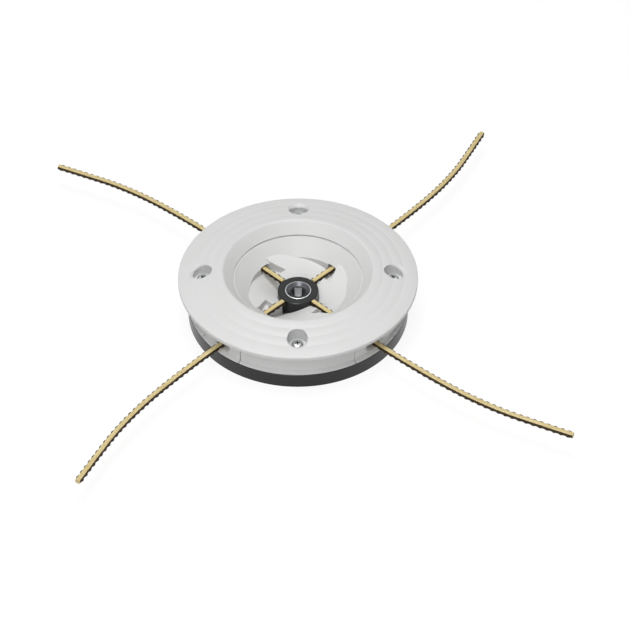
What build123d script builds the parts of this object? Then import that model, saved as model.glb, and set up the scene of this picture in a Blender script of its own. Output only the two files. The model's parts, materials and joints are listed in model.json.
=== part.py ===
from build123d import *
import os
from math import atan2, hypot, pi, sin, tan

# Fixed line trimmer head, ground side up, in millimetres.
# The head's axis is +Z, z = 0 is the machine side of the base, and the cutting lines lie level.
# Each line has its own frame: x outwards along the line, y counter-clockwise from it.

# Pattern
STATIONS = 4
LINE_START_DEG = 45.0
SCREW_START_DEG = 0.0

# Clearances
FIT = 0.05
NEST_GAP = 0.25
SEAM_GAP = 0.8

# Base with the hub tower
RIM_OVERHANG = 5.4
BASE_H = 10.7
BASE_FLOOR = 3.0
BASE_WALL = 1.95
BASE_EDGE = 0.8
LEDGE_Z = 8.5
LEDGE_W = 2.9
HUB_R = 12.9
HUB_TOP_Z = 17.6
HUB_EDGE = 0.5
SEAT_R = 24.0
SEAT_DEPTH = 1.0

# Steel nut in the hub
NUT_HEAD_R = 8.3
NUT_EDGE = 0.45
NUT_AF = 17.0
NUT_HEX_H = 7.0
NUT_DISH_R = 5.1
NUT_DISH_DEPTH = 1.7
NUT_SOCKET_AF = 8.0
NUT_SOCKET_DEPTH = 8.0
NUT_BORE_R = 4.33

# Cover: wear flange, crest, funnel and skirt
FLANGE_R = 75.0
RIM_TOP_Z = 30.3
RIM_H = 2.8
RIM_LIP = 1.6
RIM_ROUND = 0.7
CREST_INSET = 28.0
CREST_Z = 35.6
CREST_ROUND = 2.0
COVER_T = 2.6
SKIRT_T = 2.5
RIPPLES = 3
RIPPLE_INSET = 8.7
RIPPLE_RISE = 0.3

# Screws and their wells
SCREW_INSET = 10.0
SCREW_R = 2.0
SCREW_LENGTH = 18.0
SCREW_HEAD_R = 3.7
SCREW_HEAD_H = 2.7
SCREW_HEAD_ROUND = 1.2
RECESS_SPAN = 3.8
RECESS_WIDTH = 0.9
RECESS_DEPTH = 1.3
WELL_R = 5.9
WELL_WALL = 1.9
WELL_DEPTH = 7.2
WELL_WEB = 2.8
WELL_BELL_R = 2.5
WELL_BELL_DEG = 50.0
WELL_BELL_DEPTH = 1.5
WELL_TILT_DEG = 20.0
POST_WALL = 2.4
PILOT_REST = 3.0

# Guide cup with spiral ramps
FUNNEL_RUN = 6.8
SEAM_Z = 28.2
CUP_RUN = 9.8
THROAT_Z = 18.4
CUP_T = 2.4
CUP_RIM_W = 4.3
CUP_RIM_H = 2.0
CUP_DRAFT = 0.8
CUP_FLOOR = 1.6
RAMP_LEAD_DEG = 4.0
RAMP_SECTIONS = 5
RAMP_HUB_LOW_Z = 4.9
RAMP_HUB_RISE = 9.2
RAMP_WALL_LOW_Z = 11.5
RAMP_WALL_RISE = 8.7
RAMP_BLEND = 5.0
RAMP_BLEND_LEAST = 0.1
RAMP_SPREAD = 1.2

# Cutting line
LINE_R = 2.0
LINE_Z = 16.0
LINE_STOP_GAP = 0.3
LINE_ROUTE = ((64.0, 0.0), (124.0, 3.7), (158.0, 10.1), (182.0, 18.3), (203.2, 25.9))
ARC_SHARE = 0.45

# Pocket beside each line and window in the cup's wall
LINE_ROOM = 0.7
POCKET_START = 7.2
POCKET_WIDTH = 8.7
POCKET_END_WIDTH = 4.0
WINDOW_HALF = 3.3
WINDOW_RISE = 2.7
WINDOW_DROP = 2.9

# Line exit insert in the skirt
INSERT_HALF_DEG = 14.0
INSERT_DEPTH = 6.4
INSERT_TOP_Z = 27.4
EXIT_MOUTH_W = 19.8
EXIT_MOUTH_LOW = 3.5
EXIT_MOUTH_HIGH = 5.5
EXIT_MOUTH_ROUND = 2.4
EXIT_WAIST_W = 10.4
EXIT_WAIST_H = 7.0
EXIT_WAIST_SHARE = 0.55
EXIT_THROAT_W = 7.0
EXIT_THROAT_H = 6.0
EXIT_THROAT_ROUND = 2.0

# Clamping cam, its pin, anvil and leaf spring
PIVOT_INSET = 17.6
CAM_HUB_R = 4.2
CAM_REACH = 7.35
CAM_REACH_OUTER = 6.9
CAM_REACH_INNER = 8.35
CAM_OUTER_DEG = 60.0
CAM_INNER_DEG = 125.0
CAM_H = 8.0
CAM_TEETH = 6
CAM_TOOTH_DEPTH = 0.6
CAM_TAIL = 8.5
CAM_TAIL_W = 3.0
CAM_END_GAP = 0.4
CAM_LINE_GAP = 0.15
PIN_R = 2.0
PIN_BOSS_WALL = 1.6
PIN_BASE_DEPTH = 7.0
PIN_COVER_DEPTH = 6.0
ANVIL_INSET = 8.0
ANVIL_GAP = 0.5
ANVIL_LENGTH = 15.0
ANVIL_T = 3.2
SPRING_T = 0.4
SPRING_W = 5.0
SPRING_GAP = 0.1
SPRING_REACH = 3.0
SPRING_CURL = 1.2
SPRING_RUN = 8.5
ANCHOR_SIZE = 5.0
ANCHOR_DEPTH = 2.4

# Heights and radii that follow from the sizes above
BASE_R = FLANGE_R - RIM_OVERHANG
BASE_INNER_R = BASE_R - BASE_WALL
SKIRT_R = BASE_INNER_R - NEST_GAP
SKIRT_IN_R = SKIRT_R - SKIRT_T
CREST_R = FLANGE_R - CREST_INSET
SEAM_R = CREST_R - FUNNEL_RUN
THROAT_R = SEAM_R - CUP_RUN
SCREW_CIRCLE_R = BASE_R - SCREW_INSET
PIVOT_X = BASE_R - PIVOT_INSET
ANVIL_X = PIVOT_X - ANVIL_INSET
POCKET_X = HUB_R + POCKET_START
FLANGE_SLOPE = (CREST_Z - RIM_TOP_Z) / (FLANGE_R - CREST_R)
FUNNEL_SLOPE = (CREST_Z - SEAM_Z) / (CREST_R - SEAM_R)
CUP_SLOPE = (SEAM_Z - THROAT_Z) / (SEAM_R - THROAT_R)
ROOF_DROP = COVER_T * hypot(1, FLANGE_SLOPE)
PIVOT_Y = -(LINE_R + CAM_LINE_GAP + CAM_REACH)
CAM_LOW_Z = LINE_Z - CAM_H / 2
CAM_TOP_Z = LINE_Z + CAM_H / 2
PIN_BOSS_R = PIN_R + PIN_BOSS_WALL
POST_TOP_Z = CAM_LOW_Z - CAM_END_GAP
SOCKET_Z = CAM_TOP_Z + CAM_END_GAP
NUT_SEAT_Z = SEAT_DEPTH + NUT_HEX_H


def flange_z(radius):
    """Height of the plain flange slope at a radius."""
    return RIM_TOP_Z + (FLANGE_R - radius) * FLANGE_SLOPE


def roof_z(radius):
    """Height of the underside of the flange at a radius."""
    return flange_z(radius) - ROOF_DROP


WELL_SEAT_Z = flange_z(SCREW_CIRCLE_R) - WELL_DEPTH
WELL_WEB_Z = WELL_SEAT_Z - WELL_WEB


def around(shape, start_deg):
    """Copies of a shape at every station, in order."""
    step = 360 / STATIONS
    return [Rot(0, 0, start_deg + i * step) * shape for i in range(STATIONS)]


def turned(points):
    """Solid of revolution of a straight-sided outline of radius and height."""
    return revolve(Plane.XZ * make_face(Polyline(*points, close=True).edges()), Axis.Z)


def post(radius, low, high, x=0.0, y=0.0):
    """Upright cylinder between two heights."""
    base = (Align.CENTER, Align.CENTER, Align.MIN)
    return Pos(x, y, low) * Cylinder(radius, high - low, align=base)


def block(x, y, z):
    """Box between three pairs of limits."""
    size = [high - low for low, high in (x, y, z)]
    middle = [(high + low) / 2 for low, high in (x, y, z)]
    return Pos(*middle) * Box(*size)


def hexagon(across_flats, low, high):
    """Upright hexagonal prism with two flats facing along Y."""
    outline = RegularPolygon(across_flats / 2, 6, major_radius=False)
    return Pos(0, 0, low) * extrude(outline, high - low)


def sector(inner, outer, half_deg, low, high):
    """Part of a ring, centred on the X axis."""
    outline = Polyline((inner, low), (outer, low), (outer, high), (inner, high), close=True)
    ring = revolve(Plane.XZ * make_face(outline.edges()), Axis.Z, 2 * half_deg)
    return Rot(0, 0, -half_deg) * ring


def under_roof():
    """Room below the middle of the flange's wall, where bosses may stand."""
    middle = ROOF_DROP / 2
    inner = CREST_R
    outer = SKIRT_R
    return turned([
        (inner, 0),
        (outer, 0),
        (outer, roof_z(outer) + middle),
        (inner, roof_z(inner) + middle),
    ])


def spring_line():
    """Centre line of the leaf spring in the line's frame, from its anchor to its free end."""
    x = PIVOT_X + CAM_TAIL_W / 2 + SPRING_GAP + SPRING_T / 2
    tip_y = PIVOT_Y - CAM_TAIL + SPRING_REACH
    root_y = tip_y - SPRING_REACH - SPRING_RUN
    return ((x, root_y), (x, tip_y - SPRING_CURL), (x + SPRING_CURL, tip_y))


def anchor_box():
    """Limits of the block that holds the spring's root."""
    x, y = spring_line()[0]
    half = ANCHOR_SIZE / 2
    return (x - half, x + half), (y + ANCHOR_DEPTH - ANCHOR_SIZE, y + ANCHOR_DEPTH)


def base_shell():
    """Dark base: dished floor, outer wall, hub tower and the posts that carry the inner pieces."""
    ledge_in = BASE_INNER_R - LEDGE_W
    shell = turned([
        (0, 0),
        (BASE_R - BASE_EDGE, 0),
        (BASE_R, BASE_EDGE),
        (BASE_R, BASE_H - BASE_EDGE / 2),
        (BASE_R - BASE_EDGE / 2, BASE_H),
        (BASE_INNER_R, BASE_H),
        (BASE_INNER_R, LEDGE_Z),
        (ledge_in, LEDGE_Z),
        (ledge_in, BASE_FLOOR),
        (HUB_R, BASE_FLOOR),
        (HUB_R, HUB_TOP_Z - HUB_EDGE),
        (HUB_R - HUB_EDGE, HUB_TOP_Z),
        (0, HUB_TOP_Z),
    ])
    screw_post = post(SCREW_R + POST_WALL, BASE_FLOOR, WELL_WEB_Z, SCREW_CIRCLE_R)
    pin_post = post(PIN_BOSS_R, BASE_FLOOR, POST_TOP_Z, PIVOT_X, PIVOT_Y)
    anvil_y = LINE_R + ANVIL_GAP
    anvil = block((ANVIL_X, ANVIL_X + ANVIL_LENGTH), (anvil_y, anvil_y + ANVIL_T), (BASE_FLOOR, CAM_TOP_Z))
    anchor_x, anchor_y = anchor_box()
    anchor = block(anchor_x, anchor_y, (BASE_FLOOR, LINE_Z + SPRING_W / 2))
    shell += around(screw_post, SCREW_START_DEG)
    shell += around(pin_post + anvil + anchor, LINE_START_DEG)

    shell -= post(SEAT_R, 0, SEAT_DEPTH)
    shell -= hexagon(NUT_AF + 2 * FIT, 0, NUT_SEAT_Z)
    shell -= post(NUT_HEAD_R + FIT, 0, HUB_TOP_Z)
    pilot = post(SCREW_R + FIT, BASE_FLOOR + PILOT_REST, WELL_WEB_Z, SCREW_CIRCLE_R)
    pin_hole = post(PIN_R + FIT, POST_TOP_Z - PIN_BASE_DEPTH, POST_TOP_Z, PIVOT_X, PIVOT_Y)
    slot_x = spring_line()[0][0]
    slot_half = SPRING_T / 2 + FIT
    slot_z = LINE_Z - SPRING_W / 2
    slot = block((slot_x - slot_half, slot_x + slot_half), anchor_y, (slot_z, LINE_Z + SPRING_W / 2))
    shell -= around(pilot, SCREW_START_DEG)
    shell -= around(pin_hole + slot, LINE_START_DEG)
    return shell


def cover_outline():
    """Half section of the cover: rippled flange, crest, funnel, roof and skirt."""
    lip_z = SEAM_Z + SEAM_GAP / 2
    lip_r = SEAM_R + (lip_z - SEAM_Z) / FUNNEL_SLOPE
    lip_out = lip_r + COVER_T * hypot(1, FUNNEL_SLOPE) / FUNNEL_SLOPE
    corner_r = (roof_z(0) - lip_z + FUNNEL_SLOPE * lip_out) / (FUNNEL_SLOPE + FLANGE_SLOPE)
    rim_in = FLANGE_R - RIM_LIP
    rim_low = RIM_TOP_Z - RIM_H
    below = Polyline(
        (CREST_R, CREST_Z),
        (lip_r, lip_z),
        (lip_out, lip_z),
        (corner_r, roof_z(corner_r)),
        (SKIRT_IN_R, roof_z(SKIRT_IN_R)),
        (SKIRT_IN_R, LEDGE_Z),
        (SKIRT_R, LEDGE_Z),
        (SKIRT_R, roof_z(SKIRT_R)),
        (rim_in, roof_z(rim_in)),
        (rim_in, rim_low),
        (FLANGE_R, rim_low),
        (FLANGE_R, RIM_TOP_Z),
    )
    first = FLANGE_R - RIPPLE_INSET
    pitch = (first - CREST_R) / RIPPLES
    valleys = [FLANGE_R]
    valleys += [first - i * pitch for i in range(RIPPLES)]
    valleys += [CREST_R]
    edges = list(below.edges())
    for outer, inner in zip(valleys, valleys[1:]):
        middle = (outer + inner) / 2
        peak = (middle, flange_z(middle) + RIPPLE_RISE)
        edges += ThreePointArc((outer, flange_z(outer)), peak, (inner, flange_z(inner))).edges()
    return make_face(edges)


def rounded(shape, radius, height, size):
    """The shape with its round edge at a given radius and height filleted."""
    near = 0.01
    ring = [
        edge for edge in shape.edges().filter_by(GeomType.CIRCLE)
        if abs(edge.radius - radius) < near and abs(edge.arc_center.Z - height) < near
    ]
    return fillet(ring, size)


def screw_well():
    """Room cut for one screw: bell-shaped mouth, well for the head and hole for the shank."""
    start_z = flange_z(SCREW_CIRCLE_R) - WELL_BELL_DEPTH
    top_z = CREST_Z + COVER_T
    bell = JernArc((WELL_R, start_z), (0, 1), WELL_BELL_R, -WELL_BELL_DEG)
    bell_end = bell @ 1
    flare_r = bell_end.X + (top_z - bell_end.Y) * tan(WELL_BELL_DEG * pi / 180)
    rest = Polyline((bell_end.X, bell_end.Y), (flare_r, top_z), (0, top_z), (0, start_z), (WELL_R, start_z))
    mouth = revolve(Plane.XZ * make_face(bell.edges() + rest.edges()), Axis.Z)
    mouth = Pos(0, 0, start_z) * Rot(0, WELL_TILT_DEG, 0) * Pos(0, 0, -start_z) * mouth
    well = post(WELL_R, WELL_SEAT_Z, top_z)
    hole = post(SCREW_R + NEST_GAP, WELL_WEB_Z, WELL_SEAT_Z)
    return Pos(SCREW_CIRCLE_R, 0, 0) * (mouth + well + hole)


def cover_shell():
    """White cover: wear flange, funnel, skirt, screw wells and upper sockets of the cam pins."""
    shell = revolve(Plane.XZ * cover_outline(), Axis.Z)
    shell = rounded(shell, CREST_R, CREST_Z, CREST_ROUND)
    shell = rounded(shell, FLANGE_R, RIM_TOP_Z, RIM_ROUND)
    shell = rounded(shell, FLANGE_R, RIM_TOP_Z - RIM_H, RIM_ROUND)
    room = under_roof()
    tube = post(WELL_R + WELL_WALL, WELL_WEB_Z, CREST_Z, SCREW_CIRCLE_R) & room
    boss = post(PIN_BOSS_R, SOCKET_Z, CREST_Z, PIVOT_X, PIVOT_Y) & room
    socket = post(PIN_R + FIT, SOCKET_Z, SOCKET_Z + PIN_COVER_DEPTH, PIVOT_X, PIVOT_Y)
    opening = sector(SKIRT_IN_R - SKIRT_T, FLANGE_R - RIM_LIP, INSERT_HALF_DEG, 0, INSERT_TOP_Z)
    shell += around(tube, SCREW_START_DEG)
    shell += around(boss, LINE_START_DEG)
    shell -= around(screw_well(), SCREW_START_DEG)
    shell -= around(socket + opening, LINE_START_DEG)
    return shell


def ramp_section(turn_deg):
    """Upright section of a ramp, turned from its foot towards its head, rounded into the wall."""
    lift = sin(pi / 2 * turn_deg / (360 / STATIONS))
    hub_z = RAMP_HUB_LOW_Z + RAMP_HUB_RISE * lift
    wall_z = RAMP_WALL_LOW_Z + RAMP_WALL_RISE * lift
    inner = HUB_R - NEST_GAP
    slope = (wall_z - hub_z) / (THROAT_R - HUB_R)
    along = Vector(1, slope).normalized()
    blend = RAMP_BLEND * (1 - lift) ** 2 + RAMP_BLEND_LEAST
    corner_r = THROAT_R + CUP_T / 3
    corner_z = wall_z + slope * (corner_r - THROAT_R)
    foot = Vector(corner_r, corner_z) - along * blend
    outer = THROAT_R + CUP_T / 2
    spread = outer + RAMP_SPREAD * max(0, wall_z - THROAT_Z)
    rise = TangentArc((foot.X, foot.Y), (corner_r, corner_z + blend), tangent=along)
    rest = Polyline(
        (corner_r, corner_z + blend),
        (spread, corner_z + blend + slope * (spread - corner_r)),
        (outer, BASE_FLOOR),
        (inner, BASE_FLOOR),
        (inner, hub_z - slope * (HUB_R - inner)),
        (foot.X, foot.Y),
    )
    section = make_face(rise.edges() + rest.edges())
    return Rot(0, 0, turn_deg - RAMP_LEAD_DEG) * (Plane.XZ * section)


def line_pocket():
    """Room beside one line, with a slanting wall on its clockwise side."""
    low = LINE_Z - WINDOW_DROP
    side = LINE_R + LINE_ROOM
    outer = THROAT_R + CUP_T
    pocket = Polyline(
        (POCKET_X, side),
        (POCKET_X, -POCKET_WIDTH),
        (THROAT_R, -POCKET_END_WIDTH),
        (outer, -POCKET_END_WIDTH),
        (outer, side),
        close=True,
    )
    room = Pos(0, 0, low) * extrude(make_face(pocket.edges()), CREST_Z - low)
    return room + block((0, POCKET_X), (-side, side), (low, CREST_Z))


def spiral_ramp():
    """One ramp, rising counter-clockwise round the hub from just behind a line to the next."""
    turn = 360 / STATIONS
    step = turn / (RAMP_SECTIONS - 1)
    ramp = loft([ramp_section(i * step) for i in range(RAMP_SECTIONS)])
    return ramp - Rot(0, 0, turn) * line_pocket()


def line_window():
    """Hole for one line through the cup's wall."""
    sides = (-WINDOW_HALF, WINDOW_HALF)
    return block((THROAT_R - CUP_T, THROAT_R + 3 * CUP_T), sides, (LINE_Z - WINDOW_DROP, LINE_Z + WINDOW_RISE))


def guide_cup():
    """White inner cup: conical wall below the seam and four spiral ramps round the hub."""
    rim_z = SEAM_Z - SEAM_GAP / 2
    rim_r = SEAM_R - (SEAM_Z - rim_z) / CUP_SLOPE
    back = CUP_T * hypot(1, CUP_SLOPE) / CUP_SLOPE
    foot_r = THROAT_R - CUP_DRAFT
    rim_low_z = rim_z - CUP_RIM_H
    floor_z = BASE_FLOOR + CUP_FLOOR
    cup = turned([
        (HUB_R + NEST_GAP, BASE_FLOOR),
        (foot_r + CUP_T, BASE_FLOOR),
        (THROAT_R + CUP_T, THROAT_Z - (back - CUP_T) * CUP_SLOPE),
        (THROAT_R + back + (rim_low_z - THROAT_Z) / CUP_SLOPE, rim_low_z),
        (rim_r + CUP_RIM_W, rim_low_z),
        (rim_r + CUP_RIM_W, rim_z),
        (rim_r, rim_z),
        (THROAT_R, THROAT_Z),
        (foot_r, floor_z),
        (HUB_R + NEST_GAP, floor_z),
    ])
    cup += around(spiral_ramp(), LINE_START_DEG)
    cup -= post(HUB_R + NEST_GAP, 0, CREST_Z)
    cup -= around(line_window(), LINE_START_DEG)
    return cup


def exit_insert():
    """White line guide in the skirt, with a mouth that opens outwards like a trumpet."""
    inner = SKIRT_R - INSERT_DEPTH
    gap_deg = atan2(NEST_GAP / 2, SKIRT_R) * 180 / pi
    insert = sector(inner, SKIRT_R, INSERT_HALF_DEG - gap_deg, LEDGE_Z, INSERT_TOP_Z - NEST_GAP)
    mouth_h = EXIT_MOUTH_LOW + EXIT_MOUTH_HIGH
    mouth_z = LINE_Z + (EXIT_MOUTH_HIGH - EXIT_MOUTH_LOW) / 2
    start = inner - NEST_GAP
    waist = start + (SKIRT_R - start) * EXIT_WAIST_SHARE

    def hole(x, z, width, height, corner):
        """Rounded opening across the line at a distance from the axis."""
        across = Plane((x, 0, z), x_dir=(0, 1, 0), z_dir=(1, 0, 0))
        return across * RectangleRounded(width, height, corner)

    return insert - loft([
        hole(start, LINE_Z, EXIT_THROAT_W, EXIT_THROAT_H, EXIT_THROAT_ROUND),
        hole(waist, LINE_Z, EXIT_WAIST_W, EXIT_WAIST_H, EXIT_THROAT_ROUND),
        hole(SKIRT_R, mouth_z, EXIT_MOUTH_W, mouth_h, EXIT_MOUTH_ROUND),
    ])


def hub_nut():
    """Steel nut: hexagon held in the base, round head with a dished top and a hexagon socket."""
    nut = hexagon(NUT_AF, SEAT_DEPTH, NUT_SEAT_Z)
    nut += turned([
        (0, SEAT_DEPTH),
        (NUT_HEAD_R, SEAT_DEPTH),
        (NUT_HEAD_R, HUB_TOP_Z - NUT_EDGE),
        (NUT_HEAD_R - NUT_EDGE, HUB_TOP_Z),
        (NUT_HEAD_R - 2 * NUT_EDGE, HUB_TOP_Z),
        (NUT_DISH_R, HUB_TOP_Z - NUT_DISH_DEPTH),
        (0, HUB_TOP_Z - NUT_DISH_DEPTH),
    ])
    nut -= hexagon(NUT_SOCKET_AF, HUB_TOP_Z - NUT_SOCKET_DEPTH, HUB_TOP_Z)
    nut -= post(NUT_BORE_R, SEAT_DEPTH, HUB_TOP_Z - NUT_SOCKET_DEPTH)
    return nut


def cover_screw():
    """Pan-head screw with a cross recess, standing on the web of its well."""
    head_top = WELL_SEAT_Z + SCREW_HEAD_H
    head = post(SCREW_HEAD_R, WELL_SEAT_Z, head_top)
    head = rounded(head, SCREW_HEAD_R, head_top, SCREW_HEAD_ROUND)
    shank = post(SCREW_R, WELL_SEAT_Z - SCREW_LENGTH, WELL_SEAT_Z)
    half_span = RECESS_SPAN / 2
    half_width = RECESS_WIDTH / 2
    depth = (head_top - RECESS_DEPTH, head_top)
    recess = block((-half_span, half_span), (-half_width, half_width), depth)
    recess += block((-half_width, half_width), (-half_span, half_span), depth)
    return Pos(SCREW_CIRCLE_R, 0, 0) * (head + shank - recess)


def clamp_cam():
    """Toothed cam: turning it clockwise brings a larger radius against the line."""
    def reach(radius, deg):
        """Point on the cam at a radius and a direction from the pivot."""
        point = Vector(radius, 0).rotate(Axis.Z, deg)
        return (point.X, point.Y)

    outer = reach(CAM_REACH_OUTER, CAM_OUTER_DEG)
    inner = reach(CAM_REACH_INNER, CAM_INNER_DEG)
    face = ThreePointArc(outer, (0, CAM_REACH), inner)
    flanks = Polyline(inner, reach(CAM_HUB_R, 180), reach(CAM_HUB_R, 0), outer)
    outline = make_face(face.edges() + flanks.edges())
    outline += Circle(CAM_HUB_R)
    outline += Pos(0, -CAM_TAIL / 2) * Rectangle(CAM_TAIL_W, CAM_TAIL)
    for i in range(CAM_TEETH):
        at = face @ ((i + 0.5) / CAM_TEETH)
        notch = RegularPolygon(CAM_TOOTH_DEPTH, 3, rotation=-90)
        outline -= Pos(at.X, at.Y) * Rot(0, 0, Vector(0, 1).get_signed_angle(at)) * notch
    outline -= Circle(PIN_R + FIT)
    return Pos(PIVOT_X, PIVOT_Y, CAM_LOW_Z) * extrude(outline, CAM_H)


def cam_pin():
    """Plain steel pivot pin, held at both ends."""
    return post(PIN_R, POST_TOP_Z - PIN_BASE_DEPTH, SOCKET_Z + PIN_COVER_DEPTH, PIVOT_X, PIVOT_Y)


def cam_spring():
    """Leaf spring that presses on the cam's tail, its root in the slot of the anchor."""
    strip = trace(Polyline(*spring_line()), SPRING_T)
    return Pos(0, 0, LINE_Z - SPRING_W / 2) * extrude(strip, SPRING_W)


def cutting_line():
    """Stiff line from its stop at the hub to its tip, as a plain tube."""
    route = [(HUB_R + LINE_STOP_GAP, 0.0), *LINE_ROUTE]
    points = [Vector(x, y, LINE_Z) for x, y in route]
    radii = []
    for before, at, after in zip(points, points[1:], points[2:]):
        turn = (at - before).get_angle(after - at) * pi / 180
        shorter = min((at - before).length, (after - at).length)
        radii.append(ARC_SHARE * shorter / tan(turn / 2))
    path = FilletPolyline(*points, radius=radii)
    start = Plane(points[0], z_dir=points[1] - points[0])
    tube = sweep(start * Circle(LINE_R), path.wire())
    section = pi * LINE_R ** 2
    print("line radii", [round(radius, 1) for radius in radii], "length", round(path.length, 2))
    print("line volume", round(tube.volume, 1), "section times length", round(section * path.length, 1))
    return tube


def write(shape, node):
    """Export one node."""
    export_step(shape, f"parts/{node}.step")


def main():
    """Build every node."""
    os.makedirs("parts", exist_ok=True)
    write(base_shell(), "base_shell")
    write(cover_shell(), "cover_shell")
    write(guide_cup(), "guide_cup")
    write(hub_nut(), "hub_nut")
    write(Compound(around(cover_screw(), SCREW_START_DEG)), "cover_screws")
    repeated = {
        "exit_insert": exit_insert(),
        "clamp_cam": clamp_cam(),
        "cam_pin": cam_pin(),
        "cam_spring": cam_spring(),
        "line": cutting_line(),
    }
    for name, shape in repeated.items():
        for number, copy in enumerate(around(shape, LINE_START_DEG), start=1):
            write(copy, f"{name}_{number}")


main()
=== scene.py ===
import json
import logging
from collections.abc import Callable, Iterator
from contextlib import contextmanager
from dataclasses import dataclass
from enum import Enum
from math import cos, floor, hypot, pi, radians, sin

import bmesh
import bpy
from mathutils import Matrix, Vector


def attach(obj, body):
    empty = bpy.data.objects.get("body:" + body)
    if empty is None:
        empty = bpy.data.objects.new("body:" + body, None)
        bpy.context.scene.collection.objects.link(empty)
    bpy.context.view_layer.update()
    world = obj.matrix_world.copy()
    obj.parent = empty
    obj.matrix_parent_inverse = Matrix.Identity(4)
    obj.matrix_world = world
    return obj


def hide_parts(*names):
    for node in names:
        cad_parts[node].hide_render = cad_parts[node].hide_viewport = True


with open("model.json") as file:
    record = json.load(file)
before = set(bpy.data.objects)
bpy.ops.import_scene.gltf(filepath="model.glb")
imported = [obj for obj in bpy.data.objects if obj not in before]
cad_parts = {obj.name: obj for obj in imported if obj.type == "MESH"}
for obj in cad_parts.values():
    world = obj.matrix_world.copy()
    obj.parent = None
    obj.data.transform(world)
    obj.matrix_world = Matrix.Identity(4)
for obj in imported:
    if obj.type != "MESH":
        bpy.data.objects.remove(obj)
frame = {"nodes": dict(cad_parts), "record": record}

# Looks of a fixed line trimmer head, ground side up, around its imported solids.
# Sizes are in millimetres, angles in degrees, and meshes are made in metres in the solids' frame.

LOG = logging.getLogger("trimmer_head")
MM = 0.001
STATIONS = 4
LINE_START_DEG = 45.0
SCREW_START_DEG = 0.0
MERGE_DISTANCE = 1e-6
ROUND_SEGMENTS = 5
# Upward part of a normal that parts lying faces from upright ones.
UPRIGHT_LIMIT = 0.5
# A wave texture turns by this many radians per unit of its scaled coordinates.
WAVE_RADIANS = 20.0

Point = tuple[float, float]
Socket = bpy.types.NodeSocket


class Slot(Enum):
    """Material slots of the record."""

    WHITE = "white_plastic"
    DARK = "dark_plastic"
    BRIGHT = "bright_steel"
    BLUED = "dark_steel"
    LINE = "line_nylon"


def linear(colour: str) -> tuple[float, float, float, float]:
    """Turns an sRGB colour into the linear values that a shader takes.

    Args:
        colour: Six hexadecimal digits, red, green and blue.

    Returns:
        Linear red, green, blue and an alpha of 1.
    """
    parts = [int(colour[i:i + 2], 16) / 255 for i in (0, 2, 4)]
    red, green, blue = (c / 12.92 if c <= 0.04045 else ((c + 0.055) / 1.055) ** 2.4 for c in parts)
    return red, green, blue, 1.0


def add_node(
    tree: bpy.types.NodeTree, kind: str, inputs: dict | None = None, **settings,
) -> bpy.types.Node:
    """Adds a node with its settings, values and links.

    Args:
        tree: Node tree that gets the node.
        kind: Blender's name for the node.
        inputs: Socket name or number to a value, or to the socket that feeds it.
        settings: Properties of the node.

    Returns:
        The new node.
    """
    node = tree.nodes.new(kind)
    for key, value in settings.items():
        setattr(node, key, value)
    for name, value in (inputs or {}).items():
        if isinstance(value, Socket):
            tree.links.new(value, node.inputs[name])
        else:
            node.inputs[name].default_value = value
    return node


def new_material(name: str) -> tuple[bpy.types.Material, bpy.types.NodeTree, bpy.types.Node]:
    """Starts a material.

    Args:
        name: Name of the real material.

    Returns:
        The material, its node tree and its main shader.
    """
    material = bpy.data.materials.new(name)
    material.use_nodes = True
    return material, material.node_tree, material.node_tree.nodes["Principled BSDF"]


@dataclass(frozen=True)
class MouldedPlastic:
    """Injection-moulded polyamide: an even satin skin, faint flow mottling and a fine grain."""

    name: str
    shade: str
    tint: str
    roughness: float
    specular: float = 0.5
    mottle_mm: float = 14.0
    grain_mm: float = 0.7
    grain_depth_mm: float = 0.006
    roughness_swing: float = 0.05

    def material(self) -> bpy.types.Material:
        """Makes the material.

        Returns:
            A material on Object coordinates.
        """
        material, tree, shader = new_material(self.name)
        shader.inputs["Specular IOR Level"].default_value = self.specular
        place = add_node(tree, "ShaderNodeTexCoord").outputs["Object"]
        mottle = add_node(tree, "ShaderNodeTexNoise", {
            "Vector": place, "Scale": 1 / (self.mottle_mm * MM), "Detail": 3.0, "Roughness": 0.55,
        })
        colour = add_node(tree, "ShaderNodeValToRGB", {"Fac": mottle.outputs["Fac"]})
        colour.color_ramp.elements[0].color = linear(self.shade)
        colour.color_ramp.elements[1].color = linear(self.tint)
        # The real grain is about a tenth of a millimetre, so it is drawn coarser to show at all.
        grain = add_node(tree, "ShaderNodeTexNoise", {
            "Vector": place, "Scale": 1 / (self.grain_mm * MM), "Detail": 2.0,
        })
        gloss = add_node(tree, "ShaderNodeMapRange", {
            "Value": grain.outputs["Fac"],
            "To Min": self.roughness - self.roughness_swing,
            "To Max": self.roughness + self.roughness_swing,
        })
        bump = add_node(tree, "ShaderNodeBump", {
            "Height": grain.outputs["Fac"], "Strength": 0.5, "Distance": self.grain_depth_mm * MM,
        })
        tree.links.new(colour.outputs["Color"], shader.inputs["Base Color"])
        tree.links.new(gloss.outputs["Result"], shader.inputs["Roughness"])
        tree.links.new(bump.outputs["Normal"], shader.inputs["Normal"])
        return material


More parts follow.
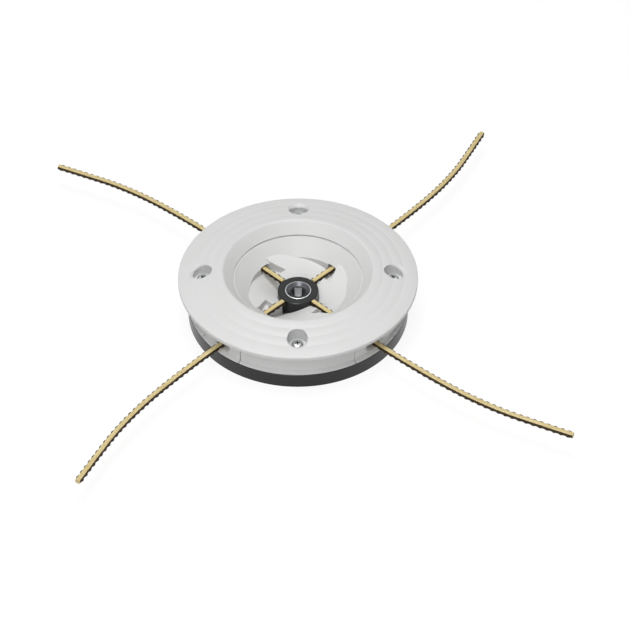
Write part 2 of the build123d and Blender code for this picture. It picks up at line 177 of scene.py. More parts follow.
@dataclass(frozen=True)
class TurnedSteel:
    """Steel with fine tool rings round an upright axis: bright or dark, with streaks in its gloss."""

    name: str
    shade: str
    tint: str
    roughness: float
    ring_mm: float = 0.5
    ring_depth_mm: float = 0.01
    blotch_mm: float = 2.5
    roughness_swing: float = 0.08

    def material(self) -> bpy.types.Material:
        """Makes the material.

        Returns:
            A material on Object coordinates.
        """
        material, tree, shader = new_material(self.name)
        shader.inputs["Metallic"].default_value = 1.0
        place = add_node(tree, "ShaderNodeTexCoord").outputs["Object"]
        # One ring is 2 pi times ring_mm wide.
        rings = add_node(tree, "ShaderNodeTexWave", {
            "Vector": place, "Scale": 1 / (self.ring_mm * MM * WAVE_RADIANS),
            "Distortion": 1.5, "Detail": 2.0,
        }, wave_type="RINGS", rings_direction="Z")
        blotch = add_node(tree, "ShaderNodeTexNoise", {
            "Vector": place, "Scale": 1 / (self.blotch_mm * MM), "Detail": 3.0,
        })
        colour = add_node(tree, "ShaderNodeValToRGB", {"Fac": blotch.outputs["Fac"]})
        colour.color_ramp.elements[0].color = linear(self.shade)
        colour.color_ramp.elements[1].color = linear(self.tint)
        gloss = add_node(tree, "ShaderNodeMapRange", {
            "Value": rings.outputs["Fac"],
            "To Min": self.roughness - self.roughness_swing,
            "To Max": self.roughness + self.roughness_swing,
        })
        bump = add_node(tree, "ShaderNodeBump", {
            "Height": rings.outputs["Fac"], "Strength": 0.3, "Distance": self.ring_depth_mm * MM,
        })
        tree.links.new(colour.outputs["Color"], shader.inputs["Base Color"])
        tree.links.new(gloss.outputs["Result"], shader.inputs["Roughness"])
        tree.links.new(bump.outputs["Normal"], shader.inputs["Normal"])
        return material


@dataclass(frozen=True)
class ExtrudedNylon:
    """Nylon drawn through a die: a smooth skin with long faint streaks, on the line's own length map."""

    name: str
    shade: str
    tint: str
    roughness: float
    specular: float = 0.5
    streak_mm: float = 9.0
    streaks_round: float = 22.0
    contrast: Point = (0.25, 0.75)

    def material(self) -> bpy.types.Material:
        """Makes the material.

        Returns:
            A material on the piece's UV map, which is in metres along the line and turns round it.
        """
        material, tree, shader = new_material(self.name)
        place = add_node(tree, "ShaderNodeUVMap", uv_map="length")
        stretched = add_node(tree, "ShaderNodeMapping", {
            "Vector": place.outputs["UV"], "Scale": (1 / (self.streak_mm * MM), self.streaks_round, 1.0),
        })
        streak = add_node(tree, "ShaderNodeTexNoise", {
            "Vector": stretched.outputs["Vector"], "Scale": 1.0, "Detail": 3.0, "Roughness": 0.6,
        })
        colour = add_node(tree, "ShaderNodeValToRGB", {"Fac": streak.outputs["Fac"]})
        for stop, tone, position in zip(colour.color_ramp.elements, (self.shade, self.tint), self.contrast):
            stop.color = linear(tone)
            stop.position = position
        tree.links.new(colour.outputs["Color"], shader.inputs["Base Color"])
        shader.inputs["Roughness"].default_value = self.roughness
        shader.inputs["Specular IOR Level"].default_value = self.specular
        return material


# Plain white of the cover, cup, inserts and beads, neither chalky nor glossy.
WHITE_POLYAMIDE = MouldedPlastic("moulded_white_polyamide", "D6D6D5", "DBDBDB", 0.5)
# Nearly black base and hub, with a broad soft shine from the lamps.
BLACK_POLYAMIDE = MouldedPlastic("moulded_black_polyamide", "0B0B0C", "100F10", 0.3, 0.42)
# Bright ring round the dish of the nut.
ZINC_STEEL = TurnedSteel("zinc_plated_steel", "B9BCBF", "D6D8DA", 0.28)
# Duller, finer rings on the screw heads deep in their wells.
SCREW_STEEL = TurnedSteel("drawn_screw_steel", "A9ACAF", "CFD1D3", 0.3, 0.3)
# Dark cams, pins and springs inside the head.
BLUED_STEEL = TurnedSteel("blued_steel", "3A3B3E", "57595D", 0.3)
# Grey cone of the dish, darkened in colour as a painted reflection of the dark well around it.
DISH_STEEL = TurnedSteel("painted_reflection_steel", "47494C", "636568", 0.3)
# Almost black painted shade for the dish's floor, the bore and the recesses, where light hardly reaches.
SOCKET_STEEL = TurnedSteel("painted_shade_steel", "2B2C2E", "3C3D40", 0.35)
# Pale flats of the socket that face along Y: painted light, lighter in colour where light falls on them.
LIT_FLATS_STEEL = TurnedSteel("painted_light_steel", "E2E3E4", "F2F2F2", 0.6)
# Straw-coloured faces of the lines, streaked along their length.
GOLD_NYLON = ExtrudedNylon("straw_nylon", "C5AD6E", "E0D1A0", 0.45)
# Dull brown-black toothed flanks of the lines.
BLACK_NYLON = ExtrudedNylon("black_nylon", "271B05", "38290C", 0.6, 0.25)


class Finishes:
    """Every material of the head, each made once."""

    def __init__(self) -> None:
        """Makes the materials."""
        self.white = WHITE_POLYAMIDE.material()
        self.black = BLACK_POLYAMIDE.material()
        self.zinc = ZINC_STEEL.material()
        self.screw = SCREW_STEEL.material()
        self.blued = BLUED_STEEL.material()
        self.dish = DISH_STEEL.material()
        self.socket = SOCKET_STEEL.material()
        self.painted_light_flats = LIT_FLATS_STEEL.material()
        self.gold_line = GOLD_NYLON.material()
        self.black_line = BLACK_NYLON.material()

    def of_slot(self, slot: str) -> bpy.types.Material:
        """Gives the finish of a slot of the record.

        Args:
            slot: Name of the slot.

        Returns:
            Its material.
        """
        return {
            Slot.WHITE: self.white,
            Slot.DARK: self.black,
            Slot.BRIGHT: self.zinc,
            Slot.BLUED: self.blued,
            Slot.LINE: self.gold_line,
        }[Slot(slot)]


def stations(start_deg: float) -> list[float]:
    """Directions of the four stations.

    Args:
        start_deg: Direction of the first one, in degrees.

    Returns:
        Directions in radians, counter-clockwise.
    """
    return [radians(start_deg + i * 360 / STATIONS) for i in range(STATIONS)]


def dress(piece: bpy.types.Object, *materials: bpy.types.Material) -> None:
    """Gives a piece its materials, in place of those it has."""
    piece.data.materials.clear()
    for material in materials:
        piece.data.materials.append(material)


def settle(piece: bpy.types.Object, body: str, slot: Slot, *nodes: str) -> None:
    """Puts a finished piece on its body and hides the nodes that it stands for.

    Args:
        piece: Finished object.
        body: Body that it rides on.
        slot: Slot of the record; not used.
        nodes: Nodes of the frame that it replaces.
    """
    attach(piece, body)
    if nodes:
        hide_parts(*nodes)
    LOG.info("%s: %d faces on %s", piece.name, len(piece.data.polygons), body)


@contextmanager
def editing(piece: bpy.types.Object) -> Iterator[None]:
    """Opens a piece in edit mode with nothing selected, and closes it again.

    Args:
        piece: Object that is shaped.
    """
    bpy.ops.object.select_all(action="DESELECT")
    bpy.context.view_layer.objects.active = piece
    piece.select_set(True)
    bpy.ops.object.mode_set(mode="EDIT")
    bpy.ops.mesh.select_all(action="DESELECT")
    yield
    bpy.ops.object.mode_set(mode="OBJECT")


def pick_faces(piece: bpy.types.Object, test: Callable[[Vector, Vector], bool]) -> None:
    """Selects faces of a piece that is in edit mode.

    Args:
        piece: Object that is shaped.
        test: Says yes to a face's middle in millimetres and its normal.
    """
    bpy.ops.mesh.select_mode(type="FACE")
    bpy.ops.mesh.select_all(action="DESELECT")
    mesh = bmesh.from_edit_mesh(piece.data)
    for face in mesh.faces:
        face.select_set(test(face.calc_center_median() / MM, face.normal))
    bmesh.update_edit_mesh(piece.data)


def close_up(piece: bpy.types.Object) -> None:
    """Merges doubles, closes open ends and turns the faces outwards."""
    with editing(piece):
        bpy.ops.mesh.select_all(action="SELECT")
        bpy.ops.mesh.remove_doubles(threshold=MERGE_DISTANCE)
        bpy.ops.mesh.fill_holes(sides=0)
        bpy.ops.mesh.normals_make_consistent(inside=False)


def drawn(name: str, outline: list[Point], rounds: dict[int, float] | None = None) -> bpy.types.Object:
    """Draws an outline in the upright plane through the X axis.

    Args:
        name: Name of the piece.
        outline: Radius and height of each corner, in millimetres.
        rounds: Corner number to the length that its rounding takes off each side, in millimetres.

    Returns:
        The piece, as a chain of edges.
    """
    bpy.ops.object.select_all(action="DESELECT")
    bpy.ops.mesh.primitive_plane_add(size=MM)
    piece = bpy.context.object
    piece.name = name
    bpy.ops.object.mode_set(mode="EDIT")
    bpy.ops.mesh.select_mode(type="VERT")
    bpy.ops.mesh.merge(type="CENTER")
    corners = [Vector((radius, 0, height)) * MM for radius, height in outline]
    bpy.ops.transform.translate(value=corners[0])
    for before, after in zip(corners, corners[1:]):
        bpy.ops.mesh.extrude_vertices_move(TRANSFORM_OT_translate={"value": after - before})
    for number, size in (rounds or {}).items():
        mesh = bmesh.from_edit_mesh(piece.data)
        for vertex in mesh.verts:
            vertex.select_set((vertex.co - corners[number]).length < MERGE_DISTANCE)
        bmesh.update_edit_mesh(piece.data)
        bpy.ops.mesh.bevel(offset=size * MM, segments=ROUND_SEGMENTS, affect="VERTICES")
    bpy.ops.object.mode_set(mode="OBJECT")
    return piece


def turned(
    name: str, outline: list[Point], rounds: dict[int, float] | None = None, steps: int = 72,
) -> bpy.types.Object:
    """Spins an outline round the head's axis.

    Args:
        name: Name of the piece.
        outline: Radius and height of each corner in millimetres, from the axis and back to it.
        rounds: Corner number to the length that its rounding takes off each side, in millimetres.
        steps: Sides of the circle.

    Returns:
        The closed piece.
    """
    piece = drawn(name, outline, rounds)
    with editing(piece):
        bpy.ops.mesh.select_all(action="SELECT")
        bpy.ops.mesh.spin(steps=steps, angle=2 * pi, center=(0, 0, 0), axis=(0, 0, 1))
    close_up(piece)
    return piece


def swept(name: str, outline: list[Point], half_deg: float) -> bpy.types.Object:
    """Spins an outline round the head's axis through part of a turn.

    Args:
        name: Name of the piece.
        outline: Radius and height of each corner in millimetres, once round.
        half_deg: Angle to each side of the X axis, in degrees.

    Returns:
        The closed piece, centred on the X axis.
    """
    piece = drawn(name, outline)
    with editing(piece):
        bpy.ops.mesh.select_all(action="SELECT")
        bpy.ops.mesh.edge_face_add()
        bpy.ops.mesh.spin(
            steps=round(2 * half_deg), angle=radians(2 * half_deg), center=(0, 0, 0), axis=(0, 0, 1),
        )
    close_up(piece)
    sides = [vertex.co.y for vertex in piece.data.vertices]
    turn = -half_deg if max(sides) > -min(sides) else half_deg
    piece.data.transform(Matrix.Rotation(radians(turn), 4, "Z"))
    return piece


def hexagon(name: str, flats: float, low: float, high: float) -> bpy.types.Object:
    """Adds an upright hexagon with two flats that face along Y.

    Args:
        name: Name of the piece.
        flats: Width across the flats, in millimetres.
        low: Height of its lower face, in millimetres.
        high: Height of its upper face, in millimetres.

    Returns:
        The prism, as a start for other shaping.
    """
    bpy.ops.object.select_all(action="DESELECT")
    bpy.ops.mesh.primitive_cylinder_add(
        vertices=6, radius=flats * MM / (2 * cos(pi / 6)), depth=(high - low) * MM,
        location=(0, 0, (high + low) / 2 * MM), rotation=(0, 0, pi / 6),
    )
    bpy.ops.object.transform_apply(location=True, rotation=True, scale=True)
    bpy.context.object.name = name
    return bpy.context.object


def apply_modifier(piece: bpy.types.Object, kind: str, **settings) -> None:
    """Adds a modifier to a piece and applies it.

    Args:
        piece: Object that is shaped.
        kind: Blender's name for the modifier.
        settings: Properties of the modifier.
    """
    modifier = piece.modifiers.new(kind.lower(), kind)
    for key, value in settings.items():
        setattr(modifier, key, value)
    bpy.context.view_layer.objects.active = piece
    bpy.ops.object.modifier_apply(modifier=modifier.name)


def combine(piece: bpy.types.Object, other: bpy.types.Object, operation: str) -> None:
    """Joins another shape to a piece or cuts it out, and removes the other.

    Args:
        piece: Object that is shaped.
        other: Closed shape that is used up.
        operation: UNION or DIFFERENCE.
    """
    apply_modifier(piece, "BOOLEAN", object=other, operation=operation, solver="EXACT")
    bpy.data.objects.remove(other)


def soften(piece: bpy.types.Object, width: float, sharp_deg: float = 35.0) -> None:
    """Breaks a piece's sharp edges and shades the rest smooth.

    Args:
        piece: Object that is finished.
        width: Width of the broken edge, in millimetres.
        sharp_deg: Angle in degrees from which an edge is sharp.
    """
    apply_modifier(
        piece, "BEVEL", width=width * MM, segments=2, limit_method="ANGLE",
        angle_limit=radians(sharp_deg), use_clamp_overlap=True,
    )
    bpy.ops.object.select_all(action="DESELECT")
    piece.select_set(True)
    bpy.context.view_layer.objects.active = piece
    bpy.ops.object.shade_smooth_by_angle(angle=radians(sharp_deg))


def copies(piece: bpy.types.Object, start_deg: float) -> list[bpy.types.Object]:
    """Puts copies of a piece at every station, in place of the piece itself.

    Args:
        piece: Piece modelled on the X axis.
        start_deg: Direction of the first station, in degrees.

    Returns:
        Copies with meshes of their own, numbered from 1.
    """
    made = []
    for number, turn in enumerate(stations(start_deg), start=1):
        copy = piece.copy()
        copy.data = piece.data.copy()
        copy.name = f"{piece.name}_{number}"
        copy.data.name = copy.name
        copy.data.transform(Matrix.Rotation(turn, 4, "Z"))
        bpy.context.scene.collection.objects.link(copy)
        made.append(copy)
    bpy.data.objects.remove(piece)
    return made


@dataclass
class HubNut:
    """Steel nut in the hub: bright rim, dish with a painted dark reflection, hexagon socket with painted
    shade and painted light on its flats along Y, on a hexagon held in the base.
    """

    head_r: float = 8.3
    top_z: float = 17.6
    low_z: float = 1.0
    rim_w: float = 0.65
    rim_round: float = 0.4
    dish_r: float = 5.3
    dish_depth: float = 1.7
    hexagon_flats: float = 17.0
    hexagon_top_z: float = 8.0
    socket_flats: float = 8.0
    socket_depth: float = 8.0
    bore_r: float = 4.33
    thread_depth: float = 0.55
    thread_pitch: float = 1.25
    edge: float = 0.15
    sides: int = 96
    overshoot: float = 1.0
    # Parts of a normal that tell the socket's flats, the dish and the dish's floor from other faces.
    flat_facing: float = 0.9
    dish_facing: float = 0.2
    floor_facing: float = 0.95

    def head(self) -> bpy.types.Object:
        """Turns the head with its rim and dish."""
        dish_z = self.top_z - self.dish_depth
        return turned("steel_hub_nut", [
            (0, self.low_z),
            (self.head_r, self.low_z),
            (self.head_r, self.top_z),
            (self.head_r - self.rim_w, self.top_z),
            (self.dish_r, dish_z),
            (0, dish_z),
        ], {2: self.rim_round}, self.sides)

    def bore(self) -> bpy.types.Object:
        """Turns the room of the threaded bore, ridge by ridge.

        Returns:
            A closed shape to cut out of the nut.
        """
        socket_z = self.top_z - self.socket_depth
        ridges = int((socket_z - self.low_z) / self.thread_pitch) + 1
        outline = [(0.0, self.low_z - self.thread_pitch)]
        for i in range(ridges):
            height = self.low_z - self.thread_pitch / 2 + i * self.thread_pitch
            outline.append((self.bore_r - self.thread_depth / 2, height))
            outline.append((self.bore_r + self.thread_depth / 2, height + self.thread_pitch / 2))
        outline.append((self.bore_r - self.thread_depth / 2, socket_z + self.thread_depth))
        outline.append((0.0, socket_z + self.thread_depth))
        return turned("bore_room", outline)

    def paint(self, piece: bpy.types.Object, finishes: Finishes) -> None:
        """Leaves the rim bright, greys the dish's cone as a painted reflection, darkens its floor, socket and
        bore as painted shade, and lightens the flats along Y as painted light.

        Args:
            piece: The shaped nut.
            finishes: Materials of the head.
        """
        for material in (finishes.zinc, finishes.dish, finishes.socket, finishes.painted_light_flats):
            piece.data.materials.append(material)
        dish, socket, painted_light_flats = 1, 2, 3
        dish_z = self.top_z - self.dish_depth
        socket_z = self.top_z - self.socket_depth
        for face in piece.data.polygons:
            middle = face.center / MM
            reach = hypot(middle.x, middle.y)
            in_dish = middle.z > dish_z - self.edge and reach < self.head_r - self.rim_w
            in_socket = reach < self.socket_flats / 2 + 2 * self.edge
            # Flats along Y get painted light; the rest of the socket gets painted shade.
            if in_socket and abs(face.normal.y) > self.flat_facing and middle.z > socket_z:
                face.material_index = painted_light_flats
            elif in_socket:
                face.material_index = socket
            # The dish's cone gets a painted dark reflection, its flat floor painted shade.
            elif in_dish and face.normal.z > self.dish_facing:
                face.material_index = socket if face.normal.z > self.floor_facing else dish

    def build(self, finishes: Finishes) -> None:
        """Builds, dresses and settles the nut."""
        piece = self.head()
        combine(piece, hexagon("nut_hexagon", self.hexagon_flats, self.low_z, self.hexagon_top_z), "UNION")
        low, high = self.top_z - self.socket_depth, self.top_z + self.overshoot
        combine(piece, hexagon("socket_room", self.socket_flats, low, high), "DIFFERENCE")
        combine(piece, self.bore(), "DIFFERENCE")
        soften(piece, self.edge)
        self.paint(piece, finishes)
        settle(piece, "head", Slot.BRIGHT, "hub_nut")


@dataclass
class CoverScrews:
    """Four pan-head screws with a cross recess, each turned home to its own angle."""

    circle_r: float = 59.6
    seat_z: float = 26.015
    length: float = 18.0
    shank_r: float = 2.0
    head_r: float = 3.7
    side_h: float = 1.3
    shoulder_r: float = 2.9
    shoulder_h: float = 2.4
    head_h: float = 2.7
    side_round: float = 0.6
    shoulder_round: float = 0.8
    sides: int = 48
    recess_w: float = 0.95
    recess_span: float = 4.2
    recess_depth: float = 1.5
    recess_taper: float = 0.45
    # Upward part of a normal below which a face over the recess counts as its wall.
    wall_facing: float = 0.7
    edge: float = 0.1
    angles: tuple[float, ...] = (18.0, -32.0, 41.0, 7.0)

    def recess(self) -> bpy.types.Object:
        """Shapes the room of the cross recess from a cube, with arms that taper downwards.

        Returns:
            A closed shape to cut out of the head.
        """
        top = self.seat_z + self.head_h + self.recess_depth / 2
        low = self.seat_z + self.head_h - self.recess_depth
        centre = (0, 0, (top + low) / 2 * MM)
        bpy.ops.object.select_all(action="DESELECT")
        bpy.ops.mesh.primitive_cube_add(size=self.recess_w * MM, location=centre)
        piece = bpy.context.object
        bpy.ops.object.transform_apply(location=True, rotation=True, scale=True)
        with editing(piece):
            bpy.ops.mesh.select_all(action="SELECT")
            bpy.ops.transform.resize(value=(1, 1, (top - low) / self.recess_w), center_override=centre)
            pick_faces(piece, lambda middle, normal: abs(normal.z) < UPRIGHT_LIMIT)
            bpy.ops.mesh.extrude_faces_move(
                TRANSFORM_OT_shrink_fatten={"value": (self.recess_span - self.recess_w) / 2 * MM},
            )
            pick_faces(piece, lambda middle, normal: normal.z < -UPRIGHT_LIMIT)
            bpy.ops.transform.resize(
                value=(self.recess_taper, self.recess_taper, 1), center_override=(0, 0, low * MM),
            )
        close_up(piece)
        return piece

    def screw(self) -> bpy.types.Object:
        """Turns one screw on the axis and cuts its recess."""
        seat = self.seat_z
        piece = turned("cover_screw", [
            (0, seat - self.length),
            (self.shank_r, seat - self.length + self.shank_r / 2),
            (self.shank_r, seat),
            (self.head_r, seat),
            (self.head_r, seat + self.side_h),
            (self.shoulder_r, seat + self.shoulder_h),
            (0, seat + self.head_h),
        ], {4: self.side_round, 5: self.shoulder_round}, self.sides)
        combine(piece, self.recess(), "DIFFERENCE")
        soften(piece, self.edge)
        return piece

    def paint(self, piece: bpy.types.Object, finishes: Finishes) -> None:
        """Paints the recess dark as painted shade and gives the rest a bright finish."""
        for material in (finishes.screw, finishes.socket):
            piece.data.materials.append(material)
        floor_z = self.seat_z + self.head_h - self.recess_depth
        for face in piece.data.polygons:
            middle = face.center / MM
            inside = hypot(middle.x, middle.y) < self.recess_span / 2 and middle.z > floor_z - self.edge
            # Walls and floor of the recess get painted shade.
            if inside and (face.normal.z < self.wall_facing or middle.z < floor_z + self.edge):
                face.material_index = 1

    def build(self, finishes: Finishes) -> None:
        """Builds, dresses and settles the four screws."""
        pattern = self.screw()
        self.paint(pattern, finishes)
        for number, (turn, angle) in enumerate(zip(stations(SCREW_START_DEG), self.angles), start=1):
            piece = pattern.copy()
            piece.data = pattern.data.copy()
            piece.name = f"cover_screw_{number}"
            home = Matrix.Rotation(radians(angle), 4, "Z")
            outwards = Matrix.Translation((self.circle_r * MM, 0, 0))
            piece.data.transform(Matrix.Rotation(turn, 4, "Z") @ outwards @ home)
            bpy.context.scene.collection.objects.link(piece)
            settle(piece, "head", Slot.BRIGHT, "cover_screws")
        bpy.data.objects.remove(pattern)


@dataclass
class ExitInserts:
    """Four line guides in the skirt, each with an opening that flares outwards like a trumpet."""

    outer_r: float = 67.4
    depth: float = 6.4
    half_deg: float = 13.68
    low_z: float = 8.5
    top_z: float = 27.15
    throat_w: float = 7.0
    throat_h: float = 6.0
    mouth_w: float = 19.8
    mouth_h: float = 9.0
    throat_z: float = 16.0
    mouth_z: float = 17.0
    flare: float = 2.6
    steps: int = 14
    steps_beyond: int = 2
    overshoot: float = 0.5
    corners: int = 64
    edge: float = 0.3

    def block(self) -> bpy.types.Object:
        """Sweeps the insert's upright section through its angle."""
        inner_r = self.outer_r - self.depth
        return swept("line_exit", [
            (inner_r, self.low_z),
            (self.outer_r, self.low_z),
            (self.outer_r, self.top_z),
            (inner_r, self.top_z),
        ], self.half_deg)

    def opening(self) -> bpy.types.Object:
        """Draws the flaring room out of an oval, step by step.

        Returns:
            A closed shape to cut out of the insert.
        """
        start = self.outer_r - self.depth - self.overshoot
        run = self.outer_r - start
        places = []
        for i in range(self.steps + self.steps_beyond + 1):
            share = i / self.steps
            opened = share ** self.flare
            places.append((
                start + run * share,
                self.throat_z + (self.mouth_z - self.throat_z) * opened,
                self.throat_w + (self.mouth_w - self.throat_w) * opened,
                self.throat_h + (self.mouth_h - self.throat_h) * opened,
            ))
        x, z, width, height = places[0]
        bpy.ops.object.select_all(action="DESELECT")
        bpy.ops.mesh.primitive_circle_add(
            vertices=self.corners, radius=MM / 2, fill_type="NGON", location=(x * MM, 0, z * MM),
            rotation=(0, pi / 2, 0),
        )
        piece = bpy.context.object
        bpy.ops.object.transform_apply(location=True, rotation=True, scale=True)
        with editing(piece):
            bpy.ops.mesh.select_mode(type="FACE")
            bpy.ops.mesh.select_all(action="SELECT")
            bpy.ops.transform.resize(value=(1, width, height), center_override=(x * MM, 0, z * MM))
            for before, after in zip(places, places[1:]):
                step = ((after[0] - before[0]) * MM, 0, (after[1] - before[1]) * MM)
                bpy.ops.mesh.extrude_region_move(TRANSFORM_OT_translate={"value": step})
                bpy.ops.transform.resize(
                    value=(1, after[2] / before[2], after[3] / before[3]),
                    center_override=(after[0] * MM, 0, after[1] * MM),
                )
        close_up(piece)
        return piece

    def build(self, finishes: Finishes) -> None:
        """Builds, dresses and settles the four inserts."""
        piece = self.block()
        combine(piece, self.opening(), "DIFFERENCE")
        soften(piece, self.edge)
        piece.data.materials.append(finishes.white)
        for number, copy in enumerate(copies(piece, LINE_START_DEG), start=1):
            settle(copy, "head", Slot.WHITE, f"exit_insert_{number}")


@dataclass
class JointBeads:
    """White bead round the foot of the skirt and of each insert, which lies over the joint with the base."""

    inner_r: float = 66.9
    skirt_r: float = 67.4
    hollow_r: float = 68.2
    outer_r: float = 69.5
    low_z: float = 10.74
    face_h: float = 0.8
    hollow_h: float = 1.15
    top_h: float = 1.9
    insert_half_deg: float = 13.68
    skirt_half_deg: float = 31.0
    edge: float = 0.2

    def bead(self, name: str, half_deg: float) -> bpy.types.Object:
        """Sweeps the bead's hollow-backed outline.

        Args:
            name: Name of the piece.
            half_deg: Angle to each side of the X axis, in degrees.

        Returns:
            The finished bead, centred on the X axis.
        """
        piece = swept(name, [
            (self.inner_r, self.low_z),
            (self.outer_r, self.low_z),
            (self.outer_r, self.low_z + self.face_h),
            (self.hollow_r, self.low_z + self.hollow_h),
            (self.skirt_r, self.low_z + self.top_h),
            (self.inner_r, self.low_z + self.top_h),
        ], half_deg)
        soften(piece, self.edge)
        return piece

    def build(self, finishes: Finishes) -> None:
        """Builds, dresses and settles the eight beads."""
        rows = (
            ("exit_bead", self.insert_half_deg, LINE_START_DEG),
            ("skirt_bead", self.skirt_half_deg, SCREW_START_DEG),
        )
        for name, half_deg, start_deg in rows:
            piece = self.bead(name, half_deg)
            piece.data.materials.append(finishes.white)
            for copy in copies(piece, start_deg):
                settle(copy, "head", Slot.WHITE)


@dataclass
class CuttingLines:
    """Four stiff two-tone lines with toothed flanks, along the routes of the solids."""

    # Control points of the route in metres, for a line that starts along the X axis.
    route: tuple[Point, ...] = (
        (0.0132, 0.0), (0.064, 0.0), (0.124, 0.0037), (0.158, 0.0101), (0.182, 0.0183), (0.2032, 0.0259),
    )
    route_order: int = 3
    route_steps: int = 120
    height: float = 16.0
    length: float = 193.3
    diameter: float = 4.0
    half_height: float = 1.5
    face_half: float = 1.35
    waist_half: float = 1.5
    crown_share: float = 0.5
    crown_drop: float = 0.35
    lip_drop: float = 0.55
    bulge: float = 0.15
    shoulder: float = 0.7
    tooth_pitch: float = 4.4
    tooth_reach: float = 0.6
    tooth_share: float = 0.6
    tooth_power: float = 0.6
    step: float = 0.5

    def centreline(self, number: int, turn: float) -> list[Vector]:
        """Reads the smooth line of one route.

        Args:
            number: Number of the line.
            turn: Direction of the line, in radians.

        Returns:
            Points along the route's spline, in metres.
        """
        curve = bpy.data.curves.new(f"route_{number}", "CURVE")
        curve.dimensions = "3D"
        spline = curve.splines.new("NURBS")
        spline.points.add(len(self.route) - 1)
        around = Matrix.Rotation(turn, 4, "Z")
        for point, (x, y) in zip(spline.points, self.route):
            point.co = (*(around @ Vector((x, y, self.height * MM))), 1.0)
        spline.order_u = self.route_order
        spline.use_endpoint_u = True
        spline.resolution_u = self.route_steps
        holder = bpy.data.objects.new(f"route_{number}", curve)
        mesh = bpy.data.meshes.new_from_object(holder)
        points = [vertex.co.copy() for vertex in mesh.vertices]
        bpy.data.objects.remove(holder)
        bpy.data.curves.remove(curve)
        bpy.data.meshes.remove(mesh)
        return points

    def stepped(self, points: list[Vector]) -> list[tuple[float, Vector]]:
        """Thins the points to even steps along the line.

        Args:
            points: Points of the smooth line.

        Returns:
            Distance from the start and place of each kept point, both in metres.
        """
        kept = [(0.0, points[0])]
        run = 0.0
        for before, after in zip(points, points[1:]):
            run += (after - before).length
            if run - kept[-1][0] >= self.step * MM:
                kept.append((run, after))
        return kept

    def tooth(self, run: float) -> float:
        """Reach of the teeth beyond the waist.

        Args:
            run: Distance along the line, in millimetres.

        Returns:
            Reach in millimetres, a rounded bump in each pitch.
        """
        phase = run / self.tooth_pitch - floor(run / self.tooth_pitch)
        if phase > self.tooth_share:
            return 0.0
        return self.tooth_reach * sin(pi * phase / self.tooth_share) ** self.tooth_power

    def section(self, run: float) -> list[tuple[float, float, bool]]:
        """Outline of the line at one place.

        Args:
            run: Distance along the line, in millimetres.

        Returns:
            Side and height of each corner in millimetres, and whether the side after it is a dark flank.
        """
        flank = self.waist_half + self.tooth(run)
        quarter = [
            (self.face_half * self.crown_share, self.half_height),
            (self.face_half, self.half_height - self.crown_drop),
            (self.face_half, self.half_height - self.lip_drop),
            (flank, self.half_height - self.lip_drop),
            (flank + self.bulge, self.shoulder),
        ]
        right = quarter + [(side, -up) for side, up in reversed(quarter)]
        # Two pale sides run down to the upper lip and three on from the lower one.
        darks = [False] * 2 + [True] * (len(right) - 5) + [False] * 3
        half = [(side, up, dark) for (side, up), dark in zip(right, darks)]
        return half + [(-side, -up, dark) for side, up, dark in half]

    def tube(
        self, number: int, turn: float, finishes: Finishes,
    ) -> tuple[bpy.types.Object, list[Vector]]:
        """Builds one line along its route.

        Args:
            number: Number of the line.
            turn: Direction of the line, in radians.
            finishes: Materials of the head.

        Returns:
            The line and the points that it follows.
        """
        kept = self.stepped(self.centreline(number, turn))
        points = [place for _, place in kept]
        mesh = bmesh.new()
        lengths = mesh.loops.layers.uv.new("length")
        up = Vector((0, 0, 1))
        rings = []
        for i, (run, place) in enumerate(kept):
            ahead = (points[min(i + 1, len(points) - 1)] - points[max(i - 1, 0)]).normalized()
            side = ahead.cross(up)
            corners = self.section(run / MM)
            rings.append([mesh.verts.new(place + side * (s * MM) + up * (h * MM)) for s, h, _ in corners])
        darks = [dark for _, _, dark in self.section(0.0)]
        count = len(darks)
        for i, (near, far) in enumerate(zip(rings, rings[1:])):
            for j, dark in enumerate(darks):
                k = (j + 1) % count
                face = mesh.faces.new((near[j], near[k], far[k], far[j]))
                face.material_index = int(dark)
                ends = ((i, j), (i, j + 1), (i + 1, j + 1), (i + 1, j))
                for loop, (along, round_) in zip(face.loops, ends):
                    loop[lengths].uv = (kept[along][0], round_ / count)
        mesh.faces.new(list(reversed(rings[0])))
        mesh.faces.new(rings[-1])
        bmesh.ops.recalc_face_normals(mesh, faces=mesh.faces)
        data = bpy.data.meshes.new(f"notched_line_{number}")
        data.materials.append(finishes.gold_line)
        data.materials.append(finishes.black_line)
        mesh.to_mesh(data)
        mesh.free()
        piece = bpy.data.objects.new(f"notched_line_{number}", data)
        bpy.context.scene.collection.objects.link(piece)
        return piece, points

    def build(self, finishes: Finishes) -> None:
        for number, turn in enumerate(stations(LINE_START_DEG), start=1):
            piece, points = self.tube(number, turn, finishes)
            settle(piece, "head", Slot.LINE, f"line_{number}")


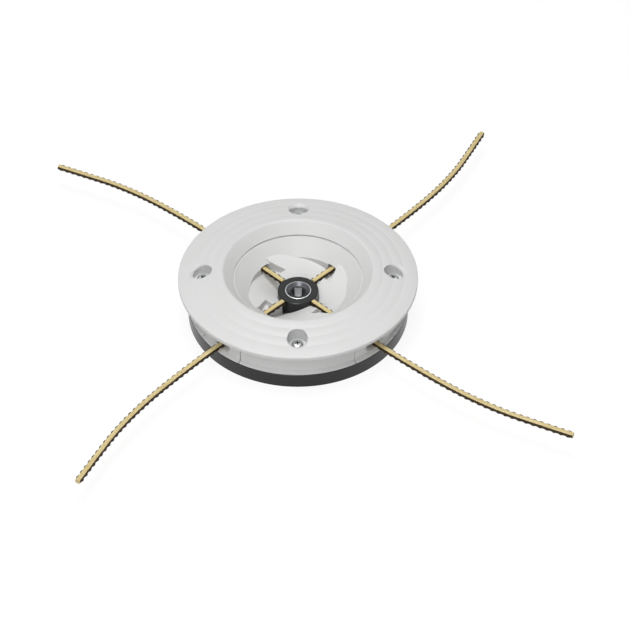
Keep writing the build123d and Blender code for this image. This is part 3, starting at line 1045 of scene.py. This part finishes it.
@dataclass
class Studio:
    """White table, soft light and the photograph's camera."""

    target: tuple[float, float, float] = (10.648, 0.0, -3.916)
    distance: float = 1326.1
    elevation: float = 42.833
    focal_pixels: float = 2083.3
    image_pixels: float = 630.0
    sensor: float = 36.0
    sight: float = 50000.0
    floor_size: float = 9000.0
    floor_gap: float = 0.05
    floor_bounce: str = "E6E6E6"
    floor_shade: str = "5C5C5C"
    floor_glow: float = 0.91
    room_colour: str = "FFFFFF"
    zenith: float = 0.06
    horizon: float = 0.3
    # Name, power in watts, width and place of each lamp.
    lamps: tuple[tuple[str, float, float, tuple[float, float, float]], ...] = (
        ("overhead_softbox", 15.8, 800.0, (-60.0, 100.0, 1700.0)),
        ("front_softbox", 9.6, 900.0, (-250.0, -900.0, 1300.0)),
        ("low_softbox", 1.6, 900.0, (-300.0, -1500.0, 300.0)),
    )

    def camera(self) -> None:
        """Sets the camera where the photograph was taken from."""
        tilt = radians(self.elevation)
        target = Vector(self.target) * MM
        back = Vector((0, -cos(tilt), sin(tilt)))
        data = bpy.data.cameras.new("photo_camera")
        data.sensor_width = self.sensor
        data.lens = self.focal_pixels / self.image_pixels * self.sensor
        data.clip_end = self.sight * MM
        camera = bpy.data.objects.new("photo_camera", data)
        camera.location = target + back * (self.distance * MM)
        camera.rotation_euler = (-back).to_track_quat("-Z", "Y").to_euler()
        bpy.context.scene.collection.objects.link(camera)
        bpy.context.scene.camera = camera

    def seen(self, tree: bpy.types.NodeTree) -> Socket:
        """Adds the test for rays that show the background.

        Args:
            tree: Node tree of the floor or the world.

        Returns:
            Socket that is 1 for camera, glossy and transmission rays.
        """
        path = add_node(tree, "ShaderNodeLightPath").outputs
        direct = add_node(tree, "ShaderNodeMath", {
            0: path["Is Camera Ray"], 1: path["Is Glossy Ray"],
        }, operation="MAXIMUM")
        return add_node(tree, "ShaderNodeMath", {
            0: direct.outputs[0], 1: path["Is Transmission Ray"],
        }, operation="MAXIMUM").outputs[0]

    def floor(self) -> None:
        """Lays white paper that keeps a faint shadow: pale to the eye, and lighter still to the head."""
        bpy.ops.object.select_all(action="DESELECT")
        bpy.ops.mesh.primitive_plane_add(size=self.floor_size * MM, location=(0, 0, -self.floor_gap * MM))
        floor_piece = bpy.context.object
        floor_piece.name = "white_floor"
        material, tree, shader = new_material("white_paper")
        tree.nodes.remove(shader)
        bounce = add_node(tree, "ShaderNodeBsdfDiffuse", {"Color": linear(self.floor_bounce)})
        shaded = add_node(tree, "ShaderNodeBsdfDiffuse", {"Color": linear(self.floor_shade)})
        glow = add_node(tree, "ShaderNodeEmission", {"Strength": self.floor_glow})
        paper = add_node(tree, "ShaderNodeAddShader", {0: shaded.outputs[0], 1: glow.outputs[0]})
        mixed = add_node(tree, "ShaderNodeMixShader", {
            0: self.seen(tree), 1: bounce.outputs[0], 2: paper.outputs[0],
        })
        tree.links.new(mixed.outputs[0], tree.nodes["Material Output"].inputs["Surface"])
        floor_piece.data.materials.append(material)

    def light(self) -> None:
        """Lights the head from a pale room and three soft lamps: overhead, high in front and low in front."""
        world = bpy.data.worlds.new("white_room")
        bpy.context.scene.world = world
        world.use_nodes = True
        tree = world.node_tree
        direction = add_node(tree, "ShaderNodeTexCoord").outputs["Generated"]
        height = add_node(tree, "ShaderNodeSeparateXYZ", {"Vector": direction}).outputs["Z"]
        sky = add_node(tree, "ShaderNodeMapRange", {
            "Value": height, "To Min": self.horizon, "To Max": self.zenith,
        })
        strength = add_node(tree, "ShaderNodeMapRange", {
            "Value": self.seen(tree), "To Min": sky.outputs["Result"], "To Max": 1.0,
        })
        tree.links.new(strength.outputs["Result"], tree.nodes["Background"].inputs["Strength"])
        tree.nodes["Background"].inputs["Color"].default_value = linear(self.room_colour)
        for name, power, size, place in self.lamps:
            data = bpy.data.lights.new(name, "AREA")
            data.shape = "DISK"
            data.size = size * MM
            data.energy = power
            lamp = bpy.data.objects.new(name, data)
            lamp.location = Vector(place) * MM
            lamp.rotation_euler = (-lamp.location).to_track_quat("-Z", "Y").to_euler()
            bpy.context.scene.collection.objects.link(lamp)

    def build(self) -> None:
        """Sets up the camera, the floor, the light and the colour view."""
        self.camera()
        self.floor()
        self.light()
        bpy.context.scene.view_settings.view_transform = "Standard"


def dress_nodes(finishes: Finishes) -> None:
    """Gives every node of the frame the finish of its slot."""
    for row in frame["record"]["subparts"]:
        dress(frame["nodes"][row["node"]], finishes.of_slot(row["material_slot"]))


def main() -> None:
    """Builds the studio and the head, piece by piece."""
    logging.basicConfig(level=logging.INFO, format="%(message)s")
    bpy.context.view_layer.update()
    Studio().build()
    finishes = Finishes()
    dress_nodes(finishes)
    CuttingLines().build(finishes)
    HubNut().build(finishes)
    CoverScrews().build(finishes)
    ExitInserts().build(finishes)
    JointBeads().build(finishes)


if __name__ == "__main__":
    main()
